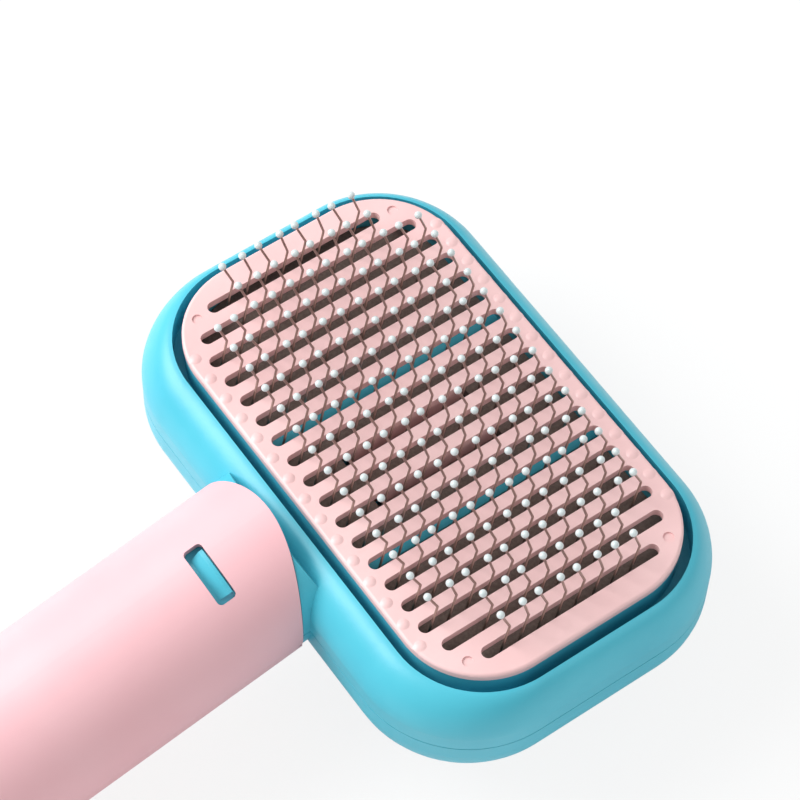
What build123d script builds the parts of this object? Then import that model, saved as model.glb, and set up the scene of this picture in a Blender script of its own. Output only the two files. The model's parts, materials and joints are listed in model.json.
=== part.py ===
from build123d import *
import math
import os

# Self-cleaning slicker brush: a wide two-shell head on a round handle, with rows of bent
# steel pins and a slotted plate that a button on the back pushes out to clear the hair.
#
# Millimetres. Everything is built in the head's own frame: the origin is the middle of the
# cleaning plate's top face, +X points away from the handle, +Y runs along the head's long
# side and +Z is the way the pins point. The last step lays the brush on its back, so that it
# rests on the button and on the end of the handle, with its lowest point at z = 0.

os.makedirs("parts", exist_ok=True)

# Head outline, at its widest line, which is where the two shells part
HEAD_HALF_X = 35.2
HEAD_HALF_Y = 54.2
HEAD_CORNER = 22.0
HEAD_SHIFT_X = -1.0
RIM_TOP_Z = -2.3
SIDE_TOP_Z = -10.5
SEAM_Z = -14.0
BACK_Z = -26.0
BACK_ROUND = 8.5
SHELL_WALL = 2.2
SEAM_GAP = 0.2
LIP_THICK = 1.2
LIP_DEEP = 2.5
DOME_SECTIONS = 7
DOME_POWER = 1.2

# Cleaning plate
PLATE_HALF_X = 28.0
PLATE_HALF_Y = 48.5
PLATE_CORNER = 16.0
PLATE_THICK = 1.7
PLATE_EDGE_ROUND = 0.6
SLOT_WIDTH = 2.5
SLOT_MARGIN = 3.1
SLOT_STEP_IN = (6.1, 1.4)
BUMP_RADIUS = 2.2
BUMP_HEIGHT = 0.3
DIMPLE_RADIUS = 1.0
DIMPLE_DEPTH = 0.35
DIMPLE_INSET = 6.5
TRAVEL = 10.0

# Pins
ROWS = 18
ROW_PITCH = 5.0
COLUMNS = 12
COLUMN_PITCH = 3.95
END_ROWS = 2
END_ROW_SKIP = 2
FIELD_X = -1.5
WIRE_RADIUS = 0.23
BEND_OUT = 2.0
BEND_Z = 4.7
TIP_Z = 11.6
TIP_DROP = 1.3
TIP_RADIUS = 0.72
TIP_SCATTER = 0.35
WIRE_BEND_RADIUS = 0.7

# Pads and the tray that holds them
PAD_TOP_Z = -5.2
PAD_THICK = 2.7
PAD_ROWS = 6
RIB_WIDTH = 2.75
RIB_ABOVE_PAD = 0.5
TRAY_WALL = 2.2
TRAY_FLOOR = 2.0
TRAY_UNDER_PLATE = 0.3
FLANGE_THICK = 2.0
FLANGE_TOP_Z = -8.4
FLANGE_GAP = 0.6
LUG_THICK = 1.2
LUG_BITE = 0.5
LUG_Y = (12.0, 26.0)
LUG_HALF_LENGTH = 3.0
MOAT_GAP = 1.6
SKIRT_WALL = 1.6
FIT = 0.15

# Push legs, carrier, button and spring
LEG_THICK = 1.9
LEG_HALF_LENGTH = 11.5
LEG_Y = ROW_PITCH
LEG_FOOT_STEP = 1.2
LEG_BELOW_CARRIER = 2.2
BARB_OUT = 0.6
OPENING_END_GAP = 1.9
OPENING_SIDE_GAP = 0.3
BUTTON_RADIUS = 17.0
BUTTON_PROUD = 11.5
BUTTON_WALL = 2.0
BUTTON_ROUND = 2.5
BUTTON_HOLE_GAP = 0.3
CARRIER_THICK = 2.4
CARRIER_OVERLAP = 2.2
CARRIER_GAP = 0.3
SPRING_WIRE = 0.3
SPRING_RADIUS = 3.0
SPRING_TURNS = 8
SPRING_HOLE_RADIUS = 4.4

# Screws: self-tapping, 2.6 mm thread
SCREW_HEAD_RADIUS = 2.3
SCREW_HEAD_HEIGHT = 1.3
SCREW_PILOT_RADIUS = 1.1
SCREW_CLEAR_RADIUS = 1.5
POST_RADIUS = 2.9
COVER_SCREW_X = 20.0
COVER_SCREW_Y = 36.0
POST_MEET_Z = -16.5
HEAD_RECESS = 1.6
BUTTON_SCREW_Y = 11.0
SCREW_BITE = 5.0

# Handle and the split tang that it slides over
HANDLE_ROOT_X = -38.0
HANDLE_ROOT_Z = -13.3
HANDLE_DROP_DEG = 11.7
HANDLE_RADIUS = 16.45
HANDLE_WALL = 2.1
HANDLE_LENGTH = 128.0
HANDLE_END_ROUND = 9.0
HANDLE_END_WALL = 2.4
END_SADDLE_RADIUS = 41.4
END_GAP = 0.3
TANG_FIT = 0.2
TANG_WALL = 2.0
TANG_LENGTH = 46.0
COLLAR_FIT = 0.35
COLLAR_TOP_Z = 3.2
COLLAR_HEEL_Z = -29.4
COLLAR_REACH = 5.5
COLLAR_TOE = 5.0
COLLAR_TOE_Z = -4.6
COLLAR_SLOPE = 2.8
WINDOW_START = 5.7
WINDOW_LENGTH = 3.7
WINDOW_ARC_DEG = 41.0
WINDOW_ROLL_DEG = -12.2
WINDOW_CORNER = 0.9
TAB_GAP = 0.3
TAB_HEIGHT = 1.2
NOTCH_ROLL_DEG = -104.0
NOTCH_WIDTH = 1.3
NOTCH_DEEP = 0.6
HANG_HOLE_RADIUS = 3.5
HANG_HOLE_FROM_END = 14.0
HANG_SLEEVE_WALL = 2.0

# Sizes that follow from the ones above
RIM_HALF_X = PLATE_HALF_X + MOAT_GAP
RIM_HALF_Y = PLATE_HALF_Y + MOAT_GAP + 0.4
RIM_CORNER = PLATE_CORNER + MOAT_GAP
PLATE_UNDER_Z = -PLATE_THICK
TRAY_HALF_X = PLATE_HALF_X - TRAY_UNDER_PLATE
TRAY_HALF_Y = PLATE_HALF_Y - TRAY_UNDER_PLATE
TRAY_CORNER = PLATE_CORNER - TRAY_UNDER_PLATE
PAD_UNDER_Z = PAD_TOP_Z - PAD_THICK
TRAY_UNDER_Z = PAD_UNDER_Z - TRAY_FLOOR
COVER_INNER_Z = BACK_Z + SHELL_WALL
CARRIER_UNDER_Z = COVER_INNER_Z + CARRIER_GAP
CARRIER_TOP_Z = CARRIER_UNDER_Z + CARRIER_THICK
CARRIER_RADIUS = BUTTON_RADIUS + CARRIER_OVERLAP
BUTTON_FACE_Z = BACK_Z - BUTTON_PROUD
BUTTON_FLOOR_Z = BUTTON_FACE_Z + BUTTON_WALL
FLANGE_HALF_X = HEAD_SHIFT_X + HEAD_HALF_X - SHELL_WALL - FLANGE_GAP
FLANGE_HALF_Y = HEAD_HALF_Y - SHELL_WALL - FLANGE_GAP
FLANGE_CORNER = HEAD_CORNER - SHELL_WALL
BORE_RADIUS = HANDLE_RADIUS - HANDLE_WALL
TANG_RADIUS = BORE_RADIUS - TANG_FIT
HANDLE_DROP = math.radians(HANDLE_DROP_DEG)
SADDLE_X = HANDLE_ROOT_X + END_SADDLE_RADIUS
HANDLE_FRAME = Plane(
    origin=(HANDLE_ROOT_X, 0, HANDLE_ROOT_Z),
    x_dir=(-math.sin(HANDLE_DROP), 0, math.cos(HANDLE_DROP)),
    z_dir=(-math.cos(HANDLE_DROP), 0, -math.sin(HANDLE_DROP)),
)
PLATE_BLOCK = 200.0


def slab(half_x, half_y, corner, low_z, high_z):
    """A rounded rectangle standing between two heights."""
    face = Pos(0, 0, low_z) * RectangleRounded(2 * half_x, 2 * half_y, corner)
    return extrude(face, amount=high_z - low_z)


def head_slab(inset, low_z, high_z):
    """The head's outline at its widest, moved in by an inset."""
    half_x = HEAD_HALF_X - inset
    half_y = HEAD_HALF_Y - inset
    outline = slab(half_x, half_y, HEAD_CORNER - inset, low_z, high_z)
    return Pos(HEAD_SHIFT_X, 0, 0) * outline


def disc(x, y, radius, low_z, high_z):
    """An upright round bar between two heights."""
    return Pos(x, y, (low_z + high_z) / 2) * Cylinder(radius, high_z - low_z)


def block(low, high):
    """A box given by its lowest and highest corners."""
    size = [b - a for a, b in zip(low, high)]
    middle = [(a + b) / 2 for a, b in zip(low, high)]
    return Pos(*middle) * Box(*size)


def along_handle(shape):
    """Moves a shape made on the handle's own axis (X up, Z away from the head) to its place."""
    return HANDLE_FRAME.location * shape


def handle_bar(radius, start, end):
    """A round bar on the handle's axis."""
    return along_handle(disc(0, 0, radius, start, end))


def xz_prism(points, half_width):
    """A prism whose section is a polygon in the XZ plane."""
    wire = Polyline(*[(x, 0, z) for x, z in points], close=True)
    return extrude(make_face(wire), amount=half_width, dir=(0, 1, 0), both=True)


def saddle_bar(radius):
    """The bar lying across the head whose side the handle's end is hollowed to."""
    bar = Cylinder(radius, 2 * HEAD_HALF_Y)
    return Pos(SADDLE_X, 0, HANDLE_ROOT_Z) * Rot(90, 0, 0) * bar


def row_y(row):
    """Where a pin row lies; rows count from 1 at the +Y end."""
    return ((ROWS + 1) / 2 - row) * ROW_PITCH


def row_edge_index(row):
    """0 for the two outermost rows, 1 for the next two, and so on."""
    return min(row - 1, ROWS - row)


def four_corners(x, y):
    """The same place in each quarter of the head."""
    return [(sx * x, sy * y) for sx in (-1, 1) for sy in (-1, 1)]


# ---------------------------------------------------------------- head shells

def dome(inset):
    """The front half of the head: a rounded shoulder, then straight sides down to the seam."""
    sections = []
    for step in range(DOME_SECTIONS):
        turn = math.radians(90 * step / (DOME_SECTIONS - 1))
        out = math.sin(turn) ** DOME_POWER
        up = max(math.cos(turn), 0) ** DOME_POWER
        z = SIDE_TOP_Z + (RIM_TOP_Z - inset - SIDE_TOP_Z) * up
        half_x = RIM_HALF_X + (HEAD_HALF_X - RIM_HALF_X) * out - inset
        half_y = RIM_HALF_Y + (HEAD_HALF_Y - RIM_HALF_Y) * out - inset
        corner = RIM_CORNER + (HEAD_CORNER - RIM_CORNER) * out - inset
        face = RectangleRounded(2 * half_x, 2 * half_y, corner)
        sections.append(Pos(HEAD_SHIFT_X * out, 0, z) * face)
    return loft(sections) + head_slab(inset, SEAM_Z, SIDE_TOP_Z)


def back_bowl(inset):
    """The back half of the head: straight sides that round over to a flat back."""
    bowl = head_slab(inset, BACK_Z + inset, SEAM_Z)
    rim = bowl.edges().group_by(Axis.Z)[0]
    return fillet(rim, BACK_ROUND - inset)


def collar():
    """The round shoulder that carries the head's side out to the handle's end."""
    toe_x = HANDLE_ROOT_X + COLLAR_TOE
    heel_x = HANDLE_ROOT_X + COLLAR_REACH
    side = xz_prism(
        [
            (HANDLE_ROOT_X - 5, HANDLE_ROOT_Z),
            (HANDLE_ROOT_X - 5, COLLAR_TOP_Z),
            (toe_x - COLLAR_SLOPE, COLLAR_TOP_Z),
            (toe_x, COLLAR_TOE_Z),
            (toe_x, BACK_Z + SHELL_WALL),
            (heel_x + 2.5, BACK_Z + 0.4),
            (heel_x - 2.5, COLLAR_HEEL_Z),
            (HANDLE_ROOT_X - 5, COLLAR_HEEL_Z),
        ],
        HANDLE_RADIUS,
    )
    bar = handle_bar(HANDLE_RADIUS - COLLAR_FIT, -12, 12)
    return bar & side & saddle_bar(END_SADDLE_RADIUS - END_GAP)


def tang():
    """The tube inside the handle, which both shells share."""
    tube = handle_bar(TANG_RADIUS, -2, TANG_LENGTH)
    rim = tube.edges().filter_by(GeomType.CIRCLE).sort_by(Axis.X)[0]
    return chamfer(rim, 1.0)


def snap_tab():
    """The sloped tab on the tang that clicks into the handle's window."""
    start = WINDOW_START + TAB_GAP
    end = WINDOW_START + WINDOW_LENGTH - TAB_GAP
    top = TANG_RADIUS + TAB_HEIGHT
    ramp = Polyline(
        (TANG_RADIUS - 1, 0, start),
        (top, 0, start),
        (top, 0, start + 0.8),
        (TANG_RADIUS - 0.2, 0, end),
        (TANG_RADIUS - 1, 0, end),
        close=True,
    )
    arc = WINDOW_ARC_DEG - 6
    tab = revolve(make_face(ramp), Axis.Z, arc)
    return along_handle(Rot(0, 0, WINDOW_ROLL_DEG - arc / 2) * tab)


def head_body():
    """Both shells as one block with its hollows, before it is parted at the seam."""
    body = dome(0) + back_bowl(0) + collar() + tang() + snap_tab()
    body = body - dome(SHELL_WALL)
    body = body - back_bowl(SHELL_WALL)
    return body - handle_bar(TANG_RADIUS - TANG_WALL, 2.5, TANG_LENGTH + 1)


def front_side(drop):
    """All the space in front of the seam, which bends down along the handle's axis."""
    seam = SEAM_Z - drop
    far_x = HANDLE_ROOT_X - PLATE_BLOCK
    far_z = seam - PLATE_BLOCK * math.tan(HANDLE_DROP)
    corners = [
        (far_x, far_z),
        (HANDLE_ROOT_X, seam),
        (2 * HEAD_HALF_X, seam),
        (2 * HEAD_HALF_X, PLATE_BLOCK / 4),
        (far_x, PLATE_BLOCK / 4),
    ]
    return xz_prism(corners, 2 * HEAD_HALF_Y)


def locating_lip():
    """A ring inside the front shell that centres the back cover."""
    under = SEAM_Z - LIP_DEEP
    outside = SHELL_WALL + FIT
    ring = head_slab(outside, under, SEAM_Z + 2)
    ring = ring + head_slab(SHELL_WALL - 0.5, SEAM_Z, SEAM_Z + 2)
    return ring - head_slab(outside + LIP_THICK, under - 1, SEAM_Z + 3)


def skirt():
    """The rim's inner wall, which bears on the tray's flange."""
    outer = slab(
        RIM_HALF_X + SKIRT_WALL,
        RIM_HALF_Y + SKIRT_WALL,
        RIM_CORNER + SKIRT_WALL,
        FLANGE_TOP_Z,
        RIM_TOP_Z - 1.0,
    )
    return outer


def front_shell(body):
    """The blue front shell: rim, upper half of the neck, and lugs that the tray clicks over."""
    shell = body & front_side(0)
    shell = shell + (locating_lip() & dome(SHELL_WALL / 2)) + locating_lip_below()
    shell = shell + (skirt() & dome(0.5))
    for lug in tray_lugs():
        shell = shell + lug
    return shell - slab(RIM_HALF_X, RIM_HALF_Y, RIM_CORNER, FLANGE_TOP_Z - 0.01, 5)


def locating_lip_below():
    """The part of the lip that hangs below the seam."""
    lip = locating_lip()
    return lip & head_slab(0, SEAM_Z - LIP_DEEP - 1, SEAM_Z + 0.5)


def tray_lugs():
    """Small ledges on the shell's long sides that hold the tray's flange up."""
    high = FLANGE_TOP_Z - FLANGE_THICK - FIT
    low = high - LUG_THICK
    wall = HEAD_HALF_X - SHELL_WALL / 2
    lugs = []
    for y in (-LUG_Y[1], -LUG_Y[0], LUG_Y[0], LUG_Y[1]):
        near = block((HEAD_SHIFT_X - wall, y - LUG_HALF_LENGTH, low),
                     (-FLANGE_HALF_X + LUG_BITE, y + LUG_HALF_LENGTH, high))
        far = block((FLANGE_HALF_X - LUG_BITE, y - LUG_HALF_LENGTH, low),
                    (HEAD_SHIFT_X + wall, y + LUG_HALF_LENGTH, high))
        lugs = lugs + [near, far]
    return lugs


def back_cover(body):
    """The blue back cover: button hole, screw posts and the lower half of the neck."""
    cover = body - front_side(SEAM_GAP)
    for x, y in four_corners(COVER_SCREW_X, COVER_SCREW_Y):
        cover = cover + disc(x, y, POST_RADIUS, COVER_INNER_Z - 0.5, POST_MEET_Z)
    for x, y in four_corners(COVER_SCREW_X, COVER_SCREW_Y):
        recess_top = BACK_Z + HEAD_RECESS + SCREW_HEAD_HEIGHT
        cover = cover - disc(x, y, SCREW_HEAD_RADIUS + 0.3, BACK_Z - 1, recess_top)
        cover = cover - disc(x, y, SCREW_CLEAR_RADIUS, BACK_Z, POST_MEET_Z + 1)
    hole = BUTTON_RADIUS + BUTTON_HOLE_GAP
    return cover - disc(FIELD_X, 0, hole, BACK_Z - 1, COVER_INNER_Z + 1)


# ---------------------------------------------------------------- tray and pads

def leg_openings(low_z, high_z):
    """The two openings that the plate's legs slide through."""
    half_x = LEG_HALF_LENGTH + OPENING_END_GAP
    half_y = LEG_THICK / 2 + OPENING_SIDE_GAP
    return [
        block((FIELD_X - half_x, y - half_y, low_z), (FIELD_X + half_x, y + half_y, high_z))
        for y in (-LEG_Y, LEG_Y)
    ]


def rib_places():
    """The middles of the ribs between the pads."""
    pads = ROWS // PAD_ROWS
    return [row_y(PAD_ROWS * (n + 1)) - ROW_PITCH / 2 for n in range(pads - 1)]


def tray_hollow(inset, low_z, high_z):
    """The space inside the tray's wall."""
    wall = TRAY_WALL + inset
    return slab(TRAY_HALF_X - wall, TRAY_HALF_Y - wall, TRAY_CORNER - wall, low_z, high_z)


def pin_tray():
    """The blue tray that holds the pads: wall, ribs, flange and four screw posts."""
    tray = slab(TRAY_HALF_X, TRAY_HALF_Y, TRAY_CORNER, TRAY_UNDER_Z, PLATE_UNDER_Z)
    tray = tray - tray_hollow(0, PAD_UNDER_Z, PLATE_UNDER_Z + 1)
    for y in rib_places():
        rib_top = PAD_TOP_Z + RIB_ABOVE_PAD
        half_x = TRAY_HALF_X - TRAY_WALL / 2
        tray = tray + block((-half_x, y - RIB_WIDTH / 2, PAD_UNDER_Z),
                            (half_x, y + RIB_WIDTH / 2, rib_top))
    flange_under = FLANGE_TOP_Z - FLANGE_THICK
    tray = tray + (slab(FLANGE_HALF_X, FLANGE_HALF_Y, FLANGE_CORNER, flange_under, FLANGE_TOP_Z)
                   - slab(TRAY_HALF_X - 1, TRAY_HALF_Y - 1, TRAY_CORNER - 1, flange_under, 0))
    for x, y in four_corners(COVER_SCREW_X, COVER_SCREW_Y):
        tray = tray + disc(x, y, POST_RADIUS, POST_MEET_Z, TRAY_UNDER_Z + 0.5)
    spigot = SPRING_RADIUS - SPRING_WIRE - 0.3
    tray = tray + disc(FIELD_X, 0, spigot, TRAY_UNDER_Z - 2, TRAY_UNDER_Z + 0.5)
    for x, y in four_corners(COVER_SCREW_X, COVER_SCREW_Y):
        tray = tray - disc(x, y, SCREW_PILOT_RADIUS, POST_MEET_Z - 1, POST_MEET_Z + SCREW_BITE + 0.4)
    for opening in leg_openings(TRAY_UNDER_Z - 1, PLATE_UNDER_Z + 1):
        tray = tray - opening
    return tray


def pin_pad(number):
    """One brown pad, which fills its bay of the tray."""
    first = PAD_ROWS * (number - 1) + 1
    last = first + PAD_ROWS - 1
    low_y = -PLATE_BLOCK if last == ROWS else row_y(last) - ROW_PITCH / 2 + RIB_WIDTH / 2 + FIT
    high_y = PLATE_BLOCK if first == 1 else row_y(first) + ROW_PITCH / 2 - RIB_WIDTH / 2 - FIT
    bay = block((-PLATE_BLOCK, low_y, PAD_UNDER_Z - 1), (PLATE_BLOCK, high_y, PAD_TOP_Z + 1))
    pad = tray_hollow(FIT, PAD_UNDER_Z, PAD_TOP_Z) & bay
    if low_y < -LEG_Y and high_y > LEG_Y:
        for opening in leg_openings(PAD_UNDER_Z - 1, PAD_TOP_Z + 1):
            pad = pad - opening
    return pad


# ---------------------------------------------------------------- pins

def row_columns(row):
    """The columns that hold a pin: the two end rows at each side are shorter."""
    skip = END_ROW_SKIP if row_edge_index(row) < END_ROWS else 0
    return list(range(skip, COLUMNS - skip))


def base_x(column):
    """Where a wire leaves its pad."""
    return FIELD_X + (column - (COLUMNS - 1) / 2) * COLUMN_PITCH


def scatter(row, column, turn):
    """A small hand-set unevenness, between -1 and 1, that differs from pin to pin."""
    return math.sin(12.9 * row + 78.2 * column + turn)


def tip_place(row, column):
    """The middle of a pin's ball tip; the rows dip a little towards their ends."""
    across = (column - (COLUMNS - 1) / 2) / ((COLUMNS - 1) / 2)
    x = base_x(column) + TIP_SCATTER * scatter(row, column, 0)
    z = TIP_Z - TIP_DROP * across ** 2 + 0.5 * TIP_SCATTER * scatter(row, column, 2)
    return x, z


def staple(row, left, right):
    """Two pins bent from one wire, joined by a crown under the pad."""
    y = row_y(row)
    crown_z = PAD_UNDER_Z + WIRE_RADIUS + 0.1
    lean = BEND_OUT * (PAD_TOP_Z - crown_z) / (BEND_Z - PAD_TOP_Z)
    left_x, left_z = tip_place(row, left)
    right_x, right_z = tip_place(row, right)
    route = [
        (left_x, y, left_z),
        (base_x(left) + BEND_OUT, y, BEND_Z),
        (base_x(left) - lean, y, crown_z),
        (base_x(right) - lean, y, crown_z),
        (base_x(right) + BEND_OUT, y, BEND_Z),
        (right_x, y, right_z),
    ]
    path = FilletPolyline(*route, radius=WIRE_BEND_RADIUS)
    start = Plane(origin=path @ 0, z_dir=path % 0)
    return sweep(start * Circle(WIRE_RADIUS), path)


def pin_row(row):
    """All the staples of one row."""
    columns = row_columns(row)
    return [staple(row, left, left + 1) for left in columns[::2]]


def pin_tips(row):
    """The ball tips of one row."""
    tips = []
    for column in row_columns(row):
        x, z = tip_place(row, column)
        tips.append(Pos(x, row_y(row), z) * Sphere(TIP_RADIUS))
    return tips


# ---------------------------------------------------------------- cleaning plate and button

def slot_half_length(row):
    """Slots end a fixed margin inside the plate, and shorter where its corners round off."""
    edge = row_edge_index(row)
    step_in = SLOT_STEP_IN[edge] if edge < len(SLOT_STEP_IN) else 0
    return PLATE_HALF_X - SLOT_MARGIN - step_in


def plate_leg(side):
    """A flat leg that carries the button's push to the plate, with a barb at its foot."""
    y = side * LEG_Y
    half_y = LEG_THICK / 2
    foot_z = CARRIER_UNDER_Z - LEG_BELOW_CARRIER
    upper = block((FIELD_X - LEG_HALF_LENGTH, y - half_y, CARRIER_TOP_Z),
                  (FIELD_X + LEG_HALF_LENGTH, y + half_y, PLATE_UNDER_Z + 0.5))
    foot_half = LEG_HALF_LENGTH - LEG_FOOT_STEP
    foot = block((FIELD_X - foot_half, y - half_y, foot_z),
                 (FIELD_X + foot_half, y + half_y, CARRIER_TOP_Z))
    barb_top = CARRIER_UNDER_Z - 0.1
    outer = y + side * half_y
    barb_face = make_face(Polyline(
        (FIELD_X - foot_half, outer - side * 0.2, barb_top),
        (FIELD_X - foot_half, outer + side * BARB_OUT, barb_top),
        (FIELD_X - foot_half, outer - side * 0.2, foot_z),
        close=True,
    ))
    barb = extrude(barb_face, amount=2 * foot_half, dir=(1, 0, 0))
    return upper + foot + barb


def cleaning_plate():
    """The pink slotted plate with its margin bumps and its two push legs."""
    plate = slab(PLATE_HALF_X, PLATE_HALF_Y, PLATE_CORNER, PLATE_UNDER_Z, 0)
    plate = fillet(plate.edges().group_by(Axis.Z)[-1], PLATE_EDGE_ROUND)
    bump_x = PLATE_HALF_X - SLOT_MARGIN / 2
    for row in range(END_ROWS, ROWS - END_ROWS + 1):
        y = row_y(row) - ROW_PITCH / 2
        for x in (-bump_x, bump_x):
            plate = plate + Pos(x, y, BUMP_HEIGHT - BUMP_RADIUS) * Sphere(BUMP_RADIUS)
    keep = slab(PLATE_HALF_X, PLATE_HALF_Y, PLATE_CORNER, PLATE_UNDER_Z, BUMP_HEIGHT + 1)
    plate = plate & keep
    dimples = four_corners(PLATE_HALF_X - DIMPLE_INSET, PLATE_HALF_Y - DIMPLE_INSET)
    for x, y in dimples:
        plate = plate - disc(x, y, DIMPLE_RADIUS, -DIMPLE_DEPTH, 1)
    for row in range(1, ROWS + 1):
        length = 2 * slot_half_length(row)
        slot = SlotOverall(length, SLOT_WIDTH)
        cut = extrude(slot, amount=2 * PLATE_THICK, both=True)
        plate = plate - Pos(0, row_y(row), 0) * cut
    return plate + plate_leg(-1) + plate_leg(1)


def push_carrier():
    """The disc that the legs clip into and the button is screwed to; it stops in the cover."""
    carrier = disc(FIELD_X, 0, CARRIER_RADIUS, CARRIER_UNDER_Z, CARRIER_TOP_Z)
    carrier = carrier - disc(FIELD_X, 0, SPRING_HOLE_RADIUS, CARRIER_UNDER_Z - 1, CARRIER_TOP_Z + 1)
    half_x = LEG_HALF_LENGTH - LEG_FOOT_STEP + FIT
    half_y = LEG_THICK / 2 + FIT
    for y in (-LEG_Y, LEG_Y):
        carrier = carrier - block((FIELD_X - half_x, y - half_y, CARRIER_UNDER_Z - 1),
                                  (FIELD_X + half_x, y + half_y, CARRIER_TOP_Z + 1))
    for y in (-BUTTON_SCREW_Y, BUTTON_SCREW_Y):
        recess = CARRIER_TOP_Z - SCREW_HEAD_HEIGHT
        carrier = carrier - disc(FIELD_X, y, SCREW_CLEAR_RADIUS, CARRIER_UNDER_Z - 1, recess)
        carrier = carrier - disc(FIELD_X, y, SCREW_HEAD_RADIUS + 0.2, recess, CARRIER_TOP_Z + 1)
    return carrier


def push_button():
    """The pink button cup, with two screw posts and a ring that centres the spring."""
    cup = disc(FIELD_X, 0, BUTTON_RADIUS, BUTTON_FACE_Z, CARRIER_UNDER_Z)
    cup = fillet(cup.edges().group_by(Axis.Z)[0], BUTTON_ROUND)
    inner = BUTTON_RADIUS - BUTTON_WALL
    cup = cup - disc(FIELD_X, 0, inner, BUTTON_FLOOR_Z, CARRIER_UNDER_Z + 1)
    ring_outer = SPRING_HOLE_RADIUS + 1.0
    ring = disc(FIELD_X, 0, ring_outer, BUTTON_FLOOR_Z - 0.5, BUTTON_FLOOR_Z + 2.5)
    ring = ring - disc(FIELD_X, 0, SPRING_HOLE_RADIUS - 0.6, BUTTON_FLOOR_Z, BUTTON_FLOOR_Z + 3)
    cup = cup + ring
    for y in (-BUTTON_SCREW_Y, BUTTON_SCREW_Y):
        cup = cup + disc(FIELD_X, y, POST_RADIUS - 0.4, BUTTON_FLOOR_Z - 0.5, CARRIER_UNDER_Z)
    for y in (-BUTTON_SCREW_Y, BUTTON_SCREW_Y):
        bottom = CARRIER_UNDER_Z - SCREW_BITE - 1
        cup = cup - disc(FIELD_X, y, SCREW_PILOT_RADIUS, bottom, CARRIER_UNDER_Z + 1)
    return cup


def return_spring():
    """The compression spring between the tray and the button, with closed ends left plain."""
    low = BUTTON_FLOOR_Z + SPRING_WIRE
    high = TRAY_UNDER_Z - SPRING_WIRE
    pitch = (high - low) / SPRING_TURNS
    path = Helix(pitch, high - low, SPRING_RADIUS)
    start = Plane(origin=path @ 0, z_dir=path % 0)
    coil = sweep(start * Circle(SPRING_WIRE), path, is_frenet=True)
    return Pos(FIELD_X, 0, low) * coil


# ---------------------------------------------------------------- fasteners

def screw(x, y, seat_z, reach):
    """A pan-head screw whose head sits against seat_z; reach is its signed shank length."""
    way = math.copysign(1, reach)
    head_far = seat_z - way * SCREW_HEAD_HEIGHT
    head = disc(x, y, SCREW_HEAD_RADIUS, min(seat_z, head_far), max(seat_z, head_far))
    head = head - disc(x, y, 0.9, min(head_far, head_far + way * 0.8), max(head_far, head_far + way * 0.8))
    end = seat_z + reach
    shank = disc(x, y, SCREW_PILOT_RADIUS, min(seat_z, end), max(seat_z, end))
    return head + shank


def cover_screws():
    """Four screws that hold the back cover to the tray's posts."""
    seat = BACK_Z + HEAD_RECESS + SCREW_HEAD_HEIGHT
    return [screw(x, y, seat, POST_MEET_Z - seat + SCREW_BITE)
            for x, y in four_corners(COVER_SCREW_X, COVER_SCREW_Y)]


def button_screws():
    """Two screws that hold the button to its carrier."""
    seat = CARRIER_TOP_Z - SCREW_HEAD_HEIGHT
    reach = -(seat - CARRIER_UNDER_Z) - SCREW_BITE
    return [screw(FIELD_X, y, seat, reach) for y in (-BUTTON_SCREW_Y, BUTTON_SCREW_Y)]


# ---------------------------------------------------------------- handle

def handle_window():
    """The rounded window that the tang's tab clicks into."""
    arc = math.radians(WINDOW_ARC_DEG)
    width = 2 * HANDLE_RADIUS * math.sin(arc / 2)
    middle = WINDOW_START + WINDOW_LENGTH / 2
    face = Plane.YZ * Pos(0, middle) * RectangleRounded(width, WINDOW_LENGTH, WINDOW_CORNER)
    cut = Pos(BORE_RADIUS - 4, 0, 0) * extrude(face, amount=8)
    return along_handle(Rot(0, 0, WINDOW_ROLL_DEG) * cut)


def handle():
    """The pink handle: a tube with a rounded end, a click window and a sleeved hanging hole."""
    grip = handle_bar(HANDLE_RADIUS, -12, HANDLE_LENGTH)
    far_rim = grip.edges().filter_by(GeomType.CIRCLE).sort_by(Axis.X)[0]
    grip = fillet(far_rim, HANDLE_END_ROUND)
    bore = handle_bar(BORE_RADIUS, -13, HANDLE_LENGTH - HANDLE_END_WALL)
    bore_rim = bore.edges().filter_by(GeomType.CIRCLE).sort_by(Axis.X)[0]
    bore = fillet(bore_rim, HANDLE_END_ROUND - HANDLE_WALL)
    grip = grip - bore
    hang_z = HANDLE_LENGTH - HANG_HOLE_FROM_END
    upright = Pos(0, 0, hang_z) * Rot(0, 90, 0)
    sleeve = upright * Cylinder(HANG_HOLE_RADIUS + HANG_SLEEVE_WALL, 2 * HANDLE_RADIUS)
    inside = disc(0, 0, HANDLE_RADIUS - HANDLE_WALL / 2, hang_z - 9, hang_z + 9)
    grip = grip + along_handle(sleeve & inside)
    hole = upright * Cylinder(HANG_HOLE_RADIUS, 3 * HANDLE_RADIUS)
    grip = grip - along_handle(hole)
    grip = grip - handle_window()
    grip = grip - saddle_bar(END_SADDLE_RADIUS)
    roll = math.radians(NOTCH_ROLL_DEG)
    notch = Rot(0, 0, NOTCH_ROLL_DEG) * block(
        (BORE_RADIUS - 0.5, -NOTCH_WIDTH / 2, -12), (HANDLE_RADIUS + 1, NOTCH_WIDTH / 2, notch_depth(roll))
    )
    return grip - along_handle(notch)


def notch_depth(roll):
    """How far up the handle the notch reaches, measured from the hollowed end at that roll."""
    up = HANDLE_RADIUS * math.cos(roll)
    start = 0.0
    for _ in range(20):
        drop = HANDLE_ROOT_Z + up * math.cos(HANDLE_DROP) - start * math.sin(HANDLE_DROP)
        reach = math.sqrt(END_SADDLE_RADIUS ** 2 - (drop - HANDLE_ROOT_Z) ** 2)
        x = SADDLE_X - reach
        start = (HANDLE_ROOT_X - up * math.sin(HANDLE_DROP) - x) / math.cos(HANDLE_DROP)
    return start + NOTCH_DEEP


# ---------------------------------------------------------------- laying the brush down

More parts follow.
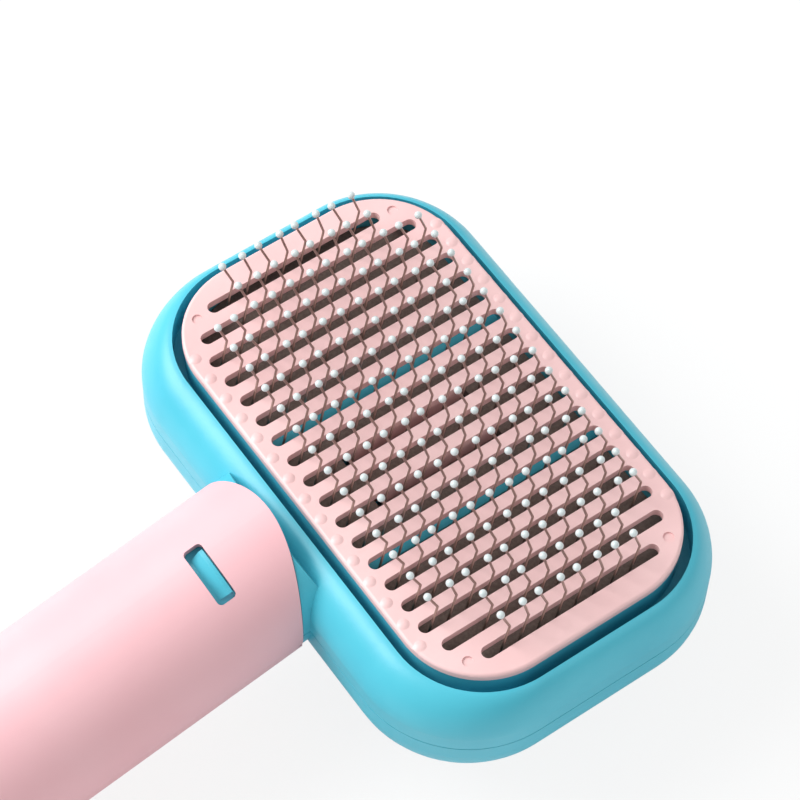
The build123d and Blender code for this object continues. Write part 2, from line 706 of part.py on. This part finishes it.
def rest_tilt():
    """How far the head tips when the brush lies on its button and the end of its handle."""
    end_centre = HANDLE_FRAME.from_local_coords(
        (-(HANDLE_RADIUS - HANDLE_END_ROUND), 0, HANDLE_LENGTH - HANDLE_END_ROUND)
    )
    button_x = FIELD_X + BUTTON_RADIUS - BUTTON_ROUND
    button_z = BUTTON_FACE_Z + BUTTON_ROUND
    run = button_x - end_centre.X
    rise = button_z - end_centre.Z
    lean = math.asin((BUTTON_ROUND - HANDLE_END_ROUND) / math.hypot(run, rise))
    return math.degrees(math.atan2(rise, run) - lean)


def build_nodes():
    """Every node's solids, in the head's frame."""
    body = head_body()
    nodes = {
        "front_shell": [front_shell(body)],
        "back_cover": [back_cover(body)],
        "pin_tray": [pin_tray()],
        "cleaning_plate": [cleaning_plate()],
        "push_carrier": [push_carrier()],
        "push_button": [push_button()],
        "return_spring": [return_spring()],
        "cover_screws": cover_screws(),
        "button_screws": button_screws(),
        "handle": [handle()],
    }
    for number in range(1, ROWS // PAD_ROWS + 1):
        nodes[f"pin_pad_{number}"] = [pin_pad(number)]
    for row in range(1, ROWS + 1):
        nodes[f"pin_row_{row:02d}"] = pin_row(row)
        nodes[f"pin_tips_{row:02d}"] = pin_tips(row)
    return nodes


def write_nodes(nodes):
    """Lays the brush down with its lowest point at z = 0 and its box's middle over the origin."""
    tilt = Rot(0, rest_tilt(), 0)
    laid = {}
    for name, solids in nodes.items():
        pieces = [piece for solid in solids for piece in (tilt * solid).solids()]
        laid[name] = Compound(children=pieces)
    boxes = [shape.bounding_box() for shape in laid.values()]
    low = [min(getattr(box.min, axis) for box in boxes) for axis in "XYZ"]
    high = [max(getattr(box.max, axis) for box in boxes) for axis in "XYZ"]
    shift = Pos(-(low[0] + high[0]) / 2, -(low[1] + high[1]) / 2, -low[2])
    for name, shape in laid.items():
        export_step(shift * shape, f"parts/{name}.step")
    hang = tilt * HANDLE_FRAME.location * Pos(0, 0, HANDLE_LENGTH - HANG_HOLE_FROM_END)
    face = tilt * Pos(FIELD_X, 0, BUTTON_FACE_Z)
    print("tilt", round(rest_tilt(), 4), "shift", shift.position)
    print("hanging hole", (shift * hang).position)
    print("button face", (shift * face).position)
    print("size", [round(b - a, 2) for a, b in zip(low, high)])


write_nodes(build_nodes())
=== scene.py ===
import json

import bpy
from mathutils import Matrix, Vector


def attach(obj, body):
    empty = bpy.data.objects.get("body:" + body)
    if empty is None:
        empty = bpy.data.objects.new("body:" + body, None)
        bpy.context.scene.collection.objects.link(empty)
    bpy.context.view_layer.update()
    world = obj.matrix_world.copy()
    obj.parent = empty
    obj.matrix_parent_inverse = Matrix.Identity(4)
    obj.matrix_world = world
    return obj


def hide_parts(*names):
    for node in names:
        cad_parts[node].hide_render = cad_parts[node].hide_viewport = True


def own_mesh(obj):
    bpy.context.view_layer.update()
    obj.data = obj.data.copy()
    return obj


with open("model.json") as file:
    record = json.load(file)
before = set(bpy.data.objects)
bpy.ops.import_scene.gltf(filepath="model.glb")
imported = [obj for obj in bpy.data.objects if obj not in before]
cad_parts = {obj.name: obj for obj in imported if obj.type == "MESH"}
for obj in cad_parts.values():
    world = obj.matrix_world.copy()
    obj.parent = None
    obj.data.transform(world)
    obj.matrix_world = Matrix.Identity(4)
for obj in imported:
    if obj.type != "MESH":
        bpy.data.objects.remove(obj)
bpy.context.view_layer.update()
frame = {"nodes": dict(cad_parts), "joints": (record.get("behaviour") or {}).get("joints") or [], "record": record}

# The slicker brush's looks: the finish of every moulded, drawn and rubber piece, a copy of
# the return spring, the floor, the lamps and the camera. Lengths are in metres unless a name
# ends in _mm or _MM.

MM = 0.001

# ---------------------------------------------------------------- the head's own frame

SLIDE = frame["joints"][0]
REST_FACE = next(m for m in frame["record"]["mounts"] if m["name"] == "rest_face")
PIN_WAY = Vector(SLIDE["axis"]).normalized()
SIDE_WAY = Vector((0, 1, 0))
OUT_WAY = SIDE_WAY.cross(PIN_WAY).normalized()
BUTTON_MIDDLE_X_MM = -1.5
BUTTON_FACE_Z_MM = -37.5
HEAD_TURN = Matrix((OUT_WAY, SIDE_WAY, PIN_WAY)).transposed()
FACE_IN_HEAD = Vector((BUTTON_MIDDLE_X_MM, 0, BUTTON_FACE_Z_MM)) * MM
HEAD_ORIGIN = Vector(REST_FACE["pos_m"]) - HEAD_TURN @ FACE_IN_HEAD


def head_point(x_mm, y_mm, z_mm):
    """A place given in the head's frame: origin in the middle of the plate's top face."""
    return HEAD_ORIGIN + HEAD_TURN @ (Vector((x_mm, y_mm, z_mm)) * MM)


# ---------------------------------------------------------------- materials

# How many noise cells a metre holds, for each kind of unevenness.
CLOUD_SCALE = 45.0
RIPPLE_SCALE = 260.0
CELL_SCALE = 1800.0
STREAK_SCALE = 400.0
RESIN_CLOUD_SCALE = 800.0

# How far the gloss strays from a finish's own roughness, to either side.
MOULDED_SMOOTHER = 0.05
MOULDED_ROUGHER = 0.06
STEEL_SMOOTHER = 0.06
STEEL_ROUGHER = 0.08

PLASTIC_IOR = 1.5
GRAIN_STRENGTH = 0.35
CELL_STRENGTH = 0.6
CELL_DEPTH_MM = 0.1
RUBBER_ROUGHNESS = 0.85
RESIN_ROUGHNESS = 0.1
RESIN_COAT = 0.6
RESIN_COAT_ROUGHNESS = 0.05

def linear(hex_colour):
    """An sRGB hex colour as linear RGBA."""
    parts = [int(hex_colour[i:i + 2], 16) / 255 for i in (0, 2, 4)]
    line = [p / 12.92 if p <= 0.04045 else ((p + 0.055) / 1.055) ** 2.4 for p in parts]
    return (*line, 1.0)


def add(tree, kind, settings=None, links=None, **attributes):
    """Adds one shader node, with its socket values, links into it and attributes."""
    node = tree.nodes.new(kind)
    for key, value in attributes.items():
        setattr(node, key, value)
    for key, value in (settings or {}).items():
        node.inputs[key].default_value = value
    for key, source in (links or {}).items():
        tree.links.new(source, node.inputs[key])
    return node


def new_material(name):
    """A material with an empty tree, its output and its object coordinates."""
    material = bpy.data.materials.new(name)
    material.use_nodes = True
    tree = material.node_tree
    tree.nodes.clear()
    output = add(tree, "ShaderNodeOutputMaterial")
    place = add(tree, "ShaderNodeTexCoord")
    return material, tree, output, place.outputs["Object"]


def moulded(name, low, high, roughness, grain_mm, grain_height_mm, ripple_height_mm=0.0):
    """An injection-moulded plastic: cloudy tone, eroded grain, and soft ripples if it sank."""
    material, tree, output, place = new_material(name)
    cloud = add(tree, "ShaderNodeTexNoise", {"Scale": CLOUD_SCALE, "Detail": 3.0},
                {"Vector": place})
    grain = add(tree, "ShaderNodeTexNoise", {"Scale": 1 / (grain_mm * MM), "Detail": 2.0},
                {"Vector": place})
    ripple = add(tree, "ShaderNodeTexNoise", {"Scale": RIPPLE_SCALE, "Detail": 1.0},
                 {"Vector": place})
    colour = add(tree, "ShaderNodeMix", {6: linear(low), 7: linear(high)},
                 {0: cloud.outputs["Fac"]}, data_type="RGBA")
    rough = add(tree, "ShaderNodeMapRange",
                {"To Min": roughness - MOULDED_SMOOTHER,
                 "To Max": roughness + MOULDED_ROUGHER},
                {"Value": grain.outputs["Fac"]})
    sunk = add(tree, "ShaderNodeBump", {"Strength": 1.0, "Distance": ripple_height_mm * MM},
               {"Height": ripple.outputs["Fac"]})
    bump = add(tree, "ShaderNodeBump", {"Strength": GRAIN_STRENGTH, "Distance": grain_height_mm * MM},
               {"Height": grain.outputs["Fac"], "Normal": sunk.outputs["Normal"]})
    shader = add(tree, "ShaderNodeBsdfPrincipled", {"IOR": PLASTIC_IOR},
                 {"Base Color": colour.outputs[2], "Roughness": rough.outputs["Result"],
                  "Normal": bump.outputs["Normal"]})
    tree.links.new(shader.outputs["BSDF"], output.inputs["Surface"])
    return material


def rubber(name, low, high):
    """Foamed rubber sheet: dark, matt, with a fine open-cell mottle."""
    material, tree, output, place = new_material(name)
    cells = add(tree, "ShaderNodeTexNoise", {"Scale": CELL_SCALE, "Detail": 4.0},
                {"Vector": place})
    colour = add(tree, "ShaderNodeMix", {6: linear(low), 7: linear(high)},
                 {0: cells.outputs["Fac"]}, data_type="RGBA")
    bump = add(tree, "ShaderNodeBump", {"Strength": CELL_STRENGTH, "Distance": CELL_DEPTH_MM * MM},
               {"Height": cells.outputs["Fac"]})
    shader = add(tree, "ShaderNodeBsdfPrincipled", {"Roughness": RUBBER_ROUGHNESS},
                 {"Base Color": colour.outputs[2], "Normal": bump.outputs["Normal"]})
    tree.links.new(shader.outputs["BSDF"], output.inputs["Surface"])
    return material


def drawn_steel(name, low, high, roughness):
    """Drawn wire or turned steel: metal with a faint uneven tone along it."""
    material, tree, output, place = new_material(name)
    streak = add(tree, "ShaderNodeTexNoise", {"Scale": STREAK_SCALE, "Detail": 2.0},
                 {"Vector": place})
    colour = add(tree, "ShaderNodeMix", {6: linear(low), 7: linear(high)},
                 {0: streak.outputs["Fac"]}, data_type="RGBA")
    rough = add(tree, "ShaderNodeMapRange",
                {"To Min": roughness - STEEL_SMOOTHER,
                 "To Max": roughness + STEEL_ROUGHER},
                {"Value": streak.outputs["Fac"]})
    shader = add(tree, "ShaderNodeBsdfPrincipled", {"Metallic": 1.0},
                 {"Base Color": colour.outputs[2], "Roughness": rough.outputs["Result"]})
    tree.links.new(shader.outputs["BSDF"], output.inputs["Surface"])
    return material


def dipped_resin(name, low, high):
    """The pins' tips: drops of milky resin, glossy as they set."""
    material, tree, output, place = new_material(name)
    cloud = add(tree, "ShaderNodeTexNoise", {"Scale": RESIN_CLOUD_SCALE, "Detail": 2.0},
                {"Vector": place})
    colour = add(tree, "ShaderNodeMix", {6: linear(low), 7: linear(high)},
                 {0: cloud.outputs["Fac"]}, data_type="RGBA")
    shader = add(tree, "ShaderNodeBsdfPrincipled", {"Roughness": RESIN_ROUGHNESS,
                 "IOR": PLASTIC_IOR, "Coat Weight": RESIN_COAT,
                 "Coat Roughness": RESIN_COAT_ROUGHNESS},
                 {"Base Color": colour.outputs[2]})
    tree.links.new(shader.outputs["BSDF"], output.inputs["Surface"])
    return material


FINISHES = {
    "blue_plastic": moulded("blue moulded ABS", "40b4cb", "58c9dd", 0.36, 0.35, 0.02),
    "tray_plastic": moulded("blue moulded ABS tray", "3fb0c7", "53c1d5", 0.42, 0.35, 0.02),
    "pink_plastic": moulded("pink moulded ABS plate", "ebbcbc", "f8d6d5", 0.36, 0.4, 0.03, 0.12),
    "carrier_plastic": moulded("pink moulded ABS carrier", "ebbcbc", "f5cdcc", 0.42, 0.4, 0.02),
    "button_plastic": moulded("pink moulded ABS button", "efb9be", "f8cfd1", 0.38, 0.4, 0.02),
    "handle_plastic": moulded("pink soft-touch polypropylene", "ecb2b9", "f5c8cd", 0.48, 0.3, 0.02),
    "pad_rubber": rubber("brown foamed rubber", "5f5049", "8e8078"),
    # The pin wire's grey steel is tinted brown and darkened: painted reflection of the pink plate, the brown pads
    # and the dark slots round the pins.
    "pin_wire": drawn_steel("drawn steel pin wire with painted reflection", "8f8077", "c2b4ab", 0.3),
    "tip_resin": dipped_resin("milky dipped resin", "c2d0d2", "e6efef"),
    "spring_steel": drawn_steel("drawn spring steel", "8c8c90", "b2b2b6", 0.28),
    "screw_steel": drawn_steel("zinc plated steel", "9da0a4", "c4c6c8", 0.32),
}


def dress_cad_nodes():
    """Gives every CAD node the finish of its material slot."""
    slots = {s["node"]: s["material_slot"] for s in frame["record"]["subparts"]}
    for name, node in frame["nodes"].items():
        node.data.materials.clear()
        node.data.materials.append(FINISHES[slots[name]])


dress_cad_nodes()

# ---------------------------------------------------------------- a copy of the return spring


def make_working_spring():
    """The return spring again, as a copy of the packed coil with a mesh of its own, in place of the packed one."""
    packed = frame["nodes"]["return_spring"]
    coil = bpy.data.objects.new("working_return_spring", packed.data.copy())
    bpy.context.scene.collection.objects.link(coil)
    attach(coil, "brush")
    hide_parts("return_spring")
    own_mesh(coil)


make_working_spring()

# ---------------------------------------------------------------- floor, lamps and camera

FLOOR_HALF = 3.0
FLOOR_GLOW_SHARE = 0.85
AIM_X_MM = -20.0
SKY_STRENGTH = 0.5
CAMERA_CLIP_START = 0.01


def make_floor():
    """A pale floor that reads white to the camera and still takes the brush's soft shadow."""
    bpy.ops.mesh.primitive_plane_add(size=2 * FLOOR_HALF, location=(0, 0, 0))
    floor = bpy.context.object
    floor.name = "floor"
    material, tree, output, _ = new_material("white paper floor")
    paper = add(tree, "ShaderNodeBsdfDiffuse", {"Color": linear("f4f4f4")})
    glow = add(tree, "ShaderNodeEmission", {"Color": (1, 1, 1, 1), "Strength": 1.0})
    path = add(tree, "ShaderNodeLightPath")
    share = add(tree, "ShaderNodeMath", {1: FLOOR_GLOW_SHARE}, {0: path.outputs["Is Camera Ray"]},
                operation="MULTIPLY")
    mix = add(tree, "ShaderNodeMixShader", None, {0: share.outputs[0], 1: paper.outputs[0],
              2: glow.outputs[0]})
    tree.links.new(mix.outputs[0], output.inputs["Surface"])
    floor.data.materials.append(material)


def make_lamp(name, way, distance, size, power, aim):
    """A square soft box that looks at aim from a direction."""
    lamp = bpy.data.lights.new(name, "AREA")
    lamp.shape = "SQUARE"
    lamp.size = size
    lamp.energy = power
    thing = bpy.data.objects.new(name, lamp)
    thing.location = aim + Vector(way).normalized() * distance
    thing.rotation_euler = (aim - thing.location).to_track_quat("-Z", "Y").to_euler()
    bpy.context.scene.collection.objects.link(thing)


def make_lights():
    """A large key from the far left, a weak fill from the camera's side, and a pale sky."""
    aim = head_point(AIM_X_MM, 0, 0)
    make_lamp("key soft box", (-0.55, 0.75, 0.95), 0.9, 0.6, 9.5, aim)
    make_lamp("fill soft box", (0.6, -0.9, 0.9), 1.1, 0.9, 1.6, aim)
    world = bpy.data.worlds.new("studio")
    bpy.context.scene.world = world
    world.use_nodes = True
    sky = world.node_tree.nodes["Background"]
    sky.inputs["Color"].default_value = (1, 1, 1, 1)
    sky.inputs["Strength"].default_value = SKY_STRENGTH


CAMERA_PLACE_MM = (-181.0, -232.65, 481.14)
CAMERA_RIGHT = (0.81923, -0.57309, 0.02059)
CAMERA_UP = (0.47764, 0.70178, 0.52855)
CAMERA_LENS_MM = 143.13
SENSOR_MM = 36.0


def make_camera():
    """A long lens that looks down at the pins from the handle's side."""
    camera = bpy.data.cameras.new("camera")
    camera.lens = CAMERA_LENS_MM
    camera.sensor_width = SENSOR_MM
    camera.clip_start = CAMERA_CLIP_START
    thing = bpy.data.objects.new("camera", camera)
    right = HEAD_TURN @ Vector(CAMERA_RIGHT)
    up = HEAD_TURN @ Vector(CAMERA_UP)
    right.normalize()
    up = (up - right * up.dot(right)).normalized()
    turn = Matrix((right, up, right.cross(up))).transposed()
    thing.matrix_world = Matrix.Translation(head_point(*CAMERA_PLACE_MM)) @ turn.to_4x4()
    bpy.context.scene.collection.objects.link(thing)
    bpy.context.scene.camera = thing


make_floor()
make_lights()
make_camera()
bpy.context.scene.view_settings.view_transform = "Standard"
